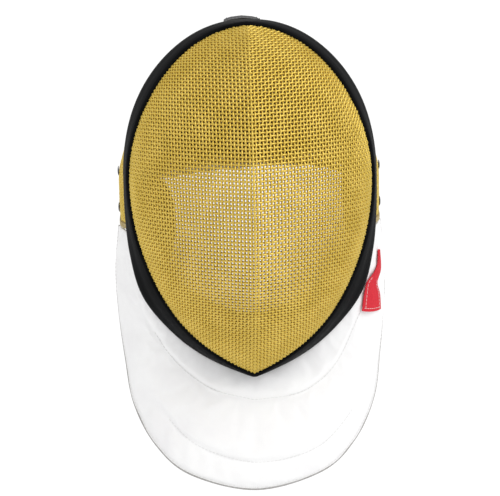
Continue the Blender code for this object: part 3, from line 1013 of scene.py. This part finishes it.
def chin_pad_surface(u, v):
    """The crescent's front, from cheek round the chin to cheek and from its outer edge inwards."""
    first = CHIN_PAD_ROWS[0][0]
    share = (1 - abs(1 - 2 * u)) * (1 - first) + first
    side = 1 if u <= 0.5 else -1
    inside = read_row(CHIN_PAD_ROWS, share, 1)
    size = CHIN_PAD_OUTSIDE + (inside - CHIN_PAD_OUTSIDE) * v
    place = rim_place(share) * size
    height = RIM_WIDEST_Z + (rim_place(share).y - RIM_WIDEST_Z) * size
    return Vector((side * place.x, RIM_Y + CHIN_PAD_FRONT + CHIN_PAD_DEPTH * v, height))


chin_pad = finish_mesh(
    "chin_padding",
    padded_sheet(*CHIN_PAD_GRID, chin_pad_surface, CHIN_PAD_THICK - 2 * PAD_SLIM, PAD_SLIM),
    dark_padding,
)
let_settle(chin_pad, PAD_SPARE, most=0.0008)
subdivide(chin_pad)
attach(chin_pad, "root")
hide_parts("chin_pad")

# ---------------------------------------------------------------------------------------------
# The bib: two layers of white cloth with padding between, sewn together along its seams and to
# the rim's cover from ear to ear, and bound at its free edge with a thin piping whose grey is
# painted shade along that edge.
BIB_TOP_SHARE = 0.580
BIB_ROWS = (
    # share of the way from ear to chin, edge x, edge y behind the rim, edge z, belly
    (0.00, 0.1085, 0.062, -0.155, 0.0000),
    (0.15, 0.1122, 0.066, -0.192, 0.0020),
    (0.30, 0.1108, 0.062, -0.227, 0.0040),
    (0.45, 0.1062, 0.050, -0.263, 0.0050),
    (0.60, 0.0995, 0.036, -0.299, 0.0060),
    (0.75, 0.0815, 0.020, -0.331, 0.0070),
    (0.88, 0.0530, 0.008, -0.3535, 0.0080),
    (1.00, 0.0000, 0.002, -0.3655, 0.0080),
    (1.12, -0.0530, 0.008, -0.3535, 0.0080),
)
BIB_GRID = (176, 34)
BIB_WALL = 0.0022
BIB_INSET = 0.0009
BIB_TUCK = 0.001
BELLY_SPREAD = 0.5
BELLY_FORWARD = 0.85
BIB_FILL = 0.0006
BIB_WRINKLE = 0.0005
# How many wrinkles there are along the bib and down it, and where down it they are in full.
BIB_WRINKLES = (26.0, 5.0, 0.15)
BIB_SPARE = 0.012
BIB_LOOK = 0.01
# The two sewn seams between the ears, a row for each place along them. The lower one shows only
# in the middle.
UPPER_SEAM = (
    # along from the right ear round the chin, down, depth
    (0.00, 0.16, 0.0),
    (0.20, 0.22, 0.0010),
    (0.32, 0.285, 0.0013),
    (0.40, 0.27, 0.0013),
    (0.50, 0.195, 0.0013),
    (0.60, 0.21, 0.0013),
    (0.72, 0.21, 0.0010),
    (1.00, 0.16, 0.0),
)
LOWER_SEAM = (
    (0.00, 0.70, 0.0),
    (0.30, 0.745, 0.0),
    (0.36, 0.745, 0.0010),
    (0.45, 0.745, 0.0013),
    (0.50, 0.715, 0.0013),
    (0.58, 0.685, 0.0013),
    (0.62, 0.67, 0.0010),
    (0.68, 0.66, 0.0),
    (1.00, 0.66, 0.0),
)
SEWN_LENGTHS = (
    # seam, where its stitches start, how far along they run, steps
    (UPPER_SEAM, 0.16, 0.60, 60),
    (LOWER_SEAM, 0.35, 0.28, 40),
)
SEAM_SINK = 0.0015
SEAM_CREASE = 0.0018
SEAM_SLOPE = 0.0070
SEAM_HELD = 0.0022
BIB_HEM = 0.0030
HEM_DEPTH = 0.0006
PIPING_RADIUS = 0.0009
PIPING_STEPS = 160
THREAD_RADIUS = 0.00022
STITCH_PITCH = 0.0032
STITCH_LENGTH = 0.0022
STITCH_BENDS = (
    # share of its length along a stitch, height in thread radii
    (-0.5, -1.0),
    (-0.35, 0.5),
    (0.35, 0.5),
    (0.5, -1.0),
)


def bib_point(along, down):
    """A point on the bib's outside: along it from the right ear to the left, and down it."""
    share = 1 - abs(1 - 2 * along)
    side = 1 if along <= 0.5 else -1
    seam_share = BIB_TOP_SHARE + (1 - BIB_TOP_SHARE) * share
    seam = rim_point(seam_share, trim_row(seam_share, 1) - BIB_TUCK, TRIM_BACK + GAP)
    edge = Vector(read_row(BIB_ROWS, share, column) for column in (1, 2, 3))
    edge.y += RIM_Y
    belly = rim_outward(seam_share) * BELLY_SPREAD
    outward = Vector((belly.x, -BELLY_FORWARD, belly.y)).normalized()
    point = seam.lerp(edge, down)
    point += outward * read_row(BIB_ROWS, share, 4) * math.sin(math.pi * down) ** 0.8
    return Vector((side * point.x, point.y, point.z))


def bib_drop(along):
    """Roughly how long the bib hangs at a place along it."""
    return (bib_point(along, 1.0) - bib_point(along, 0.0)).length


def seam_distances(along, down):
    """How far a place on the bib is from each seam and from the hem, each with its depth."""
    drop = bib_drop(along)
    distances = [
        (abs(down - read_row(seam, along, 1)) * drop, read_row(seam, along, 2))
        for seam in (UPPER_SEAM, LOWER_SEAM)
    ]
    return distances + [(abs((1 - down) * drop - BIB_HEM), HEM_DEPTH)]


def bib_puff(along, down):
    """How far the padding stands off: it sinks at each seam and fills out between them."""
    puff = BIB_FILL * math.sin(math.pi * min(1.0, max(0.0, down))) ** 0.5
    for away, depth in seam_distances(along, down):
        puff -= depth * math.exp(-((away / SEAM_CREASE) ** 2))
        puff -= 0.5 * depth * math.exp(-((away / SEAM_SLOPE) ** 2))
    wrinkle = noise.noise(Vector((along * BIB_WRINKLES[0], down * BIB_WRINKLES[1], 0.3)))
    return puff + BIB_WRINKLE * wrinkle * smooth_step(down / BIB_WRINKLES[2])


def bib_sewn(along, down):
    """Whether the bib's two layers are held together here, by a seam that is deep enough."""
    seams = seam_distances(along, down)
    return any(away < SEAM_HELD and depth > HEM_DEPTH / 2 for away, depth in seams)


def bib_outward(along, down):
    """The way out from the bib at a place on it."""
    further, nearer = min(along + BIB_LOOK, 0.999), max(along - BIB_LOOK, 0.001)
    lower, higher = min(down + BIB_LOOK, 1.0), max(down - BIB_LOOK, 0.0)
    side = bib_point(further, down) - bib_point(nearer, down)
    out = side.cross(bib_point(along, lower) - bib_point(along, higher)).normalized()
    if out.dot(bib_point(along, down) - PAD_CENTRE) < 0:
        out.negate()
    return out


def sew_along(path, outwards):
    """Stitches along a path on a surface: each dips into it at both ends."""
    stitches = []
    travelled = 0.0
    for index in range(len(path) - 1):
        start, end = path[index], path[index + 1]
        length = (end - start).length
        while travelled < length:
            along = (end - start).normalized()
            middle = start + along * travelled
            out = outwards[index]
            stitches.append(
                [
                    middle + along * STITCH_LENGTH * share + out * THREAD_RADIUS * lift
                    for share, lift in STITCH_BENDS
                ]
            )
            travelled += STITCH_PITCH
        travelled -= length
    return stitches


def bib_stitches(line, stand):
    """Stitches along a line of places on the bib, so far outside its plain surface."""
    outwards = [bib_outward(*place) for place in line]
    path = [bib_point(*place) + out * stand for place, out in zip(line, outwards)]
    return sew_along(path, outwards)


white_cloth, shader, _ = start_material(
    "white_cloth", 0.85, 30.0, dark=(0.83, 0.825, 0.83), light=(0.865, 0.865, 0.865)
)
shader.inputs["Sheen Weight"].default_value = 0.10
slack = add_noise(white_cloth, 60.0)
weave = weave_height(white_cloth, 560, 110)
add_bump(white_cloth, shader, [(slack, 0.25, 0.0010), (weave, 0.25, 0.0002)])
bib = finish_mesh(
    "bib_cloth",
    padded_sheet(*BIB_GRID, bib_point, BIB_WALL, BIB_INSET, bib_puff, bib_sewn),
    white_cloth,
)
let_settle(bib, BIB_SPARE, most=0.0012)
subdivide(bib)
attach(bib, "root")
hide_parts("bib")

# The piping is a binding round the bib's free edge; its grey colour is painted shade that draws the
# dark line along that edge.
edge_shade_piping, shader, fleck = start_material(
    "edge_shade_piping", 0.8, 800.0, dark=(0.30, 0.29, 0.28), light=(0.42, 0.41, 0.40)
)
add_bump(edge_shade_piping, shader, [(fleck, 0.5, 0.0002)])
bib_edge = [(step / PIPING_STEPS, 1.0) for step in range(PIPING_STEPS + 1)]
piping_path = [
    bib_point(*place) - bib_outward(*place) * (BIB_INSET + BIB_WALL / 2) for place in bib_edge
]
piping = lay_strands("bib_piping", [piping_path], PIPING_RADIUS, edge_shade_piping)
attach(piping, "root")
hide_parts("bib")


def dye_thread(name, color):
    """A matt sewing thread of one colour, a little darker in places."""
    return start_material(name, 0.7, 2500.0, [channel * 0.8 for channel in color], color)[0]


hem_line = [(along, 1 - BIB_HEM / bib_drop(along)) for along, _ in bib_edge[2:-2]]
bib_threads = bib_stitches(hem_line, -BIB_INSET)
for seam, start, length, steps in SEWN_LENGTHS:
    places = [start + length * step / steps for step in range(steps + 1)]
    bib_threads += bib_stitches([(along, read_row(seam, along, 1)) for along in places], -SEAM_SINK)
white_thread = dye_thread("white_thread", (0.80, 0.80, 0.79))
bib_stitching = lay_strands("bib_stitching", bib_threads, THREAD_RADIUS, white_thread)
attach(bib_stitching, "root")
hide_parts("bib")

# ---------------------------------------------------------------------------------------------
# The patch: a plain piece of red cloth on the bib's right side, pointed at its top, turned under
# and stitched down with pale thread.
PATCH_THICK = 0.0012
PATCH_GRID = (16, 60)
PATCH_ROWS = (
    # share of the way down the patch, then along and down the bib at its left and right edges
    (0.00, 0.052, 0.32, 0.052, 0.41),
    (0.30, 0.088, 0.30, 0.090, 0.48),
    (0.55, 0.130, 0.05, 0.121, 0.37),
    (0.75, 0.160, 0.08, 0.140, 0.54),
    (1.00, 0.195, 0.20, 0.165, 0.67),
)
PATCH_SEAMS = (
    # across and down the patch where a row of stitches starts, how far it runs each way, steps
    (0.12, 0.50, 0.0, 0.46, 20),
    (0.12, 0.955, 0.76, 0.0, 16),
    (0.88, 0.96, 0.0, -0.46, 20),
)
STITCH_LIFT = 0.0001


def patch_place(u, v):
    """(along, down) the bib of a place on the patch."""
    left_along, left_down, right_along, right_down = (
        read_row(PATCH_ROWS, v, column) for column in (1, 2, 3, 4)
    )
    return left_along + (right_along - left_along) * u, left_down + (right_down - left_down) * u


red_cloth, shader, _ = start_material(
    "red_cloth", 0.75, 500.0, dark=(0.58, 0.020, 0.035), light=(0.66, 0.030, 0.045)
)
shader.inputs["Specular IOR Level"].default_value = 0.15
add_bump(red_cloth, shader, [(weave_height(red_cloth, 40, 120), 0.6, 0.0002)])
patch = finish_mesh(
    "red_patch",
    padded_sheet(
        *PATCH_GRID,
        lambda u, v: bib_point(*patch_place(u, v)),
        PATCH_THICK - PAD_SLIM,
        -(PATCH_THICK + GAP),
    ),
    red_cloth,
)
forget_held(patch.data)
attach(patch, "root")
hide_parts("bib_patch")

patch_threads = []
for u, v, across, down, steps in PATCH_SEAMS:
    shares = [step / steps for step in range(steps + 1)]
    line = [patch_place(u + across * share, v + down * share) for share in shares]
    patch_threads += bib_stitches(line, PATCH_THICK + GAP + STITCH_LIFT)
pale_thread = dye_thread("pale_thread", (0.85, 0.62, 0.62))
patch_stitching = lay_strands("patch_stitching", patch_threads, THREAD_RADIUS, pale_thread)
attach(patch_stitching, "root")
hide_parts("bib_patch")

# ---------------------------------------------------------------------------------------------
# The tongue: a strip of spring steel covered in black, riveted to the crown's top and bent down
# behind the head, where it grips the back of it.
TONGUE_X = -0.003
TONGUE_WIDTH = 0.029
TONGUE_THICK = 0.0026
TONGUE_ARCHES = (0.0026, 0.0010)
TONGUE_STITCH_SHARE = 0.42
TONGUE_CENTRE = Vector((TONGUE_X, RIM_Y + 0.04, -0.09))
TONGUE_STEPS = 8
TONGUE_ROWS = (
    # distance behind the rim, height
    (0.030, 0.0114),
    (0.050, 0.0114),
    (0.072, 0.0114),
    (0.096, 0.0045),
    (0.118, -0.0125),
    (0.133, -0.0350),
    (0.1385, -0.0580),
    (0.1385, -0.0800),
    (0.1385, -0.1120),
)
tongue_line = [Vector((TONGUE_X, RIM_Y + behind, height)) for behind, height in TONGUE_ROWS]
tongue_path = smooth_path(tongue_line, TONGUE_STEPS)
tongue_bar = round_bar(
    tongue_path,
    [point - TONGUE_CENTRE for point in tongue_path],
    TONGUE_WIDTH,
    TONGUE_THICK,
    around=32,
    arches=TONGUE_ARCHES,
)
black_strip, shader, worn = start_material(
    "black_strip", 0.55, 60.0, dark=(0.014, 0.014, 0.015), light=(0.026, 0.026, 0.027)
)
shader.inputs["Specular IOR Level"].default_value = 0.30
vary_roughness(black_strip, shader, worn, 0.45, 0.65)
add_bump(black_strip, shader, [(weave_height(black_strip, 300, 90), 0.5, 0.0002)])
tongue = finish_mesh("tongue_strip", tongue_bar, black_strip)
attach(tongue, "root")
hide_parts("tongue")

tongue_threads = []
for across in (-TONGUE_STITCH_SHARE, TONGUE_STITCH_SHARE):
    lift = TONGUE_THICK / 2 - TONGUE_ARCHES[0] * (2 * across) ** 2 + STITCH_LIFT
    line = []
    outwards = []
    for before, point, after in zip(tongue_path[1:], tongue_path[2:-2], tongue_path[3:]):
        along = after - before
        side = along.cross(point - TONGUE_CENTRE).normalized()
        outwards.append(side.cross(along).normalized())
        line.append(point + side * across * TONGUE_WIDTH + outwards[-1] * lift)
    tongue_threads += sew_along(line, outwards)
black_thread = dye_thread("black_thread", (0.045, 0.045, 0.047))
tongue_stitching = lay_strands("tongue_stitching", tongue_threads, THREAD_RADIUS, black_thread)
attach(tongue_stitching, "root")
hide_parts("tongue")

# ---------------------------------------------------------------------------------------------
# The strap: pale ribbed elastic, sewn to the crown above each ear and passed round the end of
# the tongue.
STRAP_WIDTH = 0.025
STRAP_THICK = 0.0018
STRAP_Z = -0.107
STRAP_TILT = 0.055
STRAP_STITCH_SHARE = 0.36
STRAP_STEPS = 8
STRAP_ROWS = (
    # distance from the middle, distance behind the rim
    (0.0000, 0.1415),
    (0.0200, 0.1402),
    (0.0450, 0.1295),
    (0.0700, 0.1125),
    (0.0872, 0.0965),
    (0.0944, 0.0838),
    (0.1010, 0.0720),
)
strap_places = [(-x, behind) for x, behind in STRAP_ROWS[:0:-1]] + list(STRAP_ROWS)
strap_line = [Vector((x, RIM_Y + behind, STRAP_Z + STRAP_TILT * x)) for x, behind in strap_places]
strap_path = smooth_path(strap_line, STRAP_STEPS)
strap_outwards = [Vector((point.x, point.y - RIM_Y - CROWN_FULLEST, 0)) for point in strap_path]
pale_elastic, shader, _ = start_material(
    "pale_elastic", 0.85, 1200.0, dark=(0.58, 0.57, 0.52), light=(0.72, 0.71, 0.66)
)
add_bump(pale_elastic, shader, [(weave_height(pale_elastic, 260, 44), 0.9, 0.0004)])
strap = finish_mesh(
    "elastic_strap",
    round_bar(strap_path, strap_outwards, STRAP_WIDTH, STRAP_THICK, around=24, squareness=0.25),
    pale_elastic,
)
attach(strap, "root")
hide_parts("back_strap")

strap_threads = []
for first in (1, len(strap_path) - 1 - STRAP_STEPS):
    end = strap_path[first : first + STRAP_STEPS]
    out = strap_outwards[first + STRAP_STEPS // 2].normalized()
    lift = out * STRAP_THICK / 2
    spread = Vector((0, 0, STRAP_STITCH_SHARE * STRAP_WIDTH))
    lines = [[point + lift + spread * side for point in end] for side in (-1, 1)]
    for point in (end[0], end[-1]):
        lines.append([point + lift + spread * (step / 4 - 1) for step in range(9)])
    for line in lines:
        strap_threads += sew_along(line, [out] * len(line))
strap_stitching = lay_strands("strap_stitching", strap_threads, THREAD_RADIUS, white_thread)
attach(strap_stitching, "root")
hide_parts("back_strap")

# ---------------------------------------------------------------------------------------------
# The rivets: low domed heads of blackened steel, set through the wire of each ear of the crown,
# one above the other.
RIVET_RADIUS = 0.004
RIVET_HEIGHT = 0.0010
RIVET_HEIGHTS = (("upper", -0.109), ("lower", -0.137))
# Where the rivets' heights are looked up, as shares of the way from top to chin.
RIVET_SHARES = [step / 1000 for step in range(400, 580)]
RIVET_BENDS = 6
RIVET_SIDES = 20

dark_metal, shader, worn = start_material(
    "dark_metal", 0.35, 700.0, dark=(0.040, 0.040, 0.043), light=(0.065, 0.065, 0.070), metallic=0.9
)
vary_roughness(dark_metal, shader, worn, 0.25, 0.45)
for side_name, side in (("left", -1), ("right", 1)):
    for place, height in RIVET_HEIGHTS:
        share = min(RIVET_SHARES, key=lambda share: abs(rim_place(share).y - height))
        seat = crown_point(share, CROWN_FULLEST)
        head = bmesh.new()
        profile = []
        for step in range(RIVET_BENDS + 1):
            turn = math.pi / 2 * step / RIVET_BENDS
            rise = RIVET_HEIGHT * (math.sin(turn) - 0.5)
            profile.append(head.verts.new((RIVET_RADIUS * math.cos(turn), 0, rise)))
        edges = [head.edges.new(pair) for pair in zip(profile, profile[1:])]
        bmesh.ops.spin(
            head,
            geom=profile + edges,
            cent=(0, 0, 0),
            axis=(0, 0, 1),
            angle=2 * math.pi,
            steps=RIVET_SIDES,
            use_merge=True,
        )
        bmesh.ops.remove_doubles(head, verts=head.verts, dist=1e-6)
        rims = [edge for edge in head.edges if edge.is_boundary]
        bmesh.ops.holes_fill(head, edges=rims, sides=0)
        for vert in head.verts:
            local = vert.co.copy()
            out = local.z + RIVET_HEIGHT / 2 + GAP
            vert.co = (side * (seat.x + out), seat.y + local.x, seat.z + local.y)
        turn_outward(head)
        rivet = finish_mesh(f"rivet_head_{side_name}_{place}", head, dark_metal, sharp_angle=40)
        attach(rivet, "root")
        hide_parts(f"rivet_{side_name}_{place}")
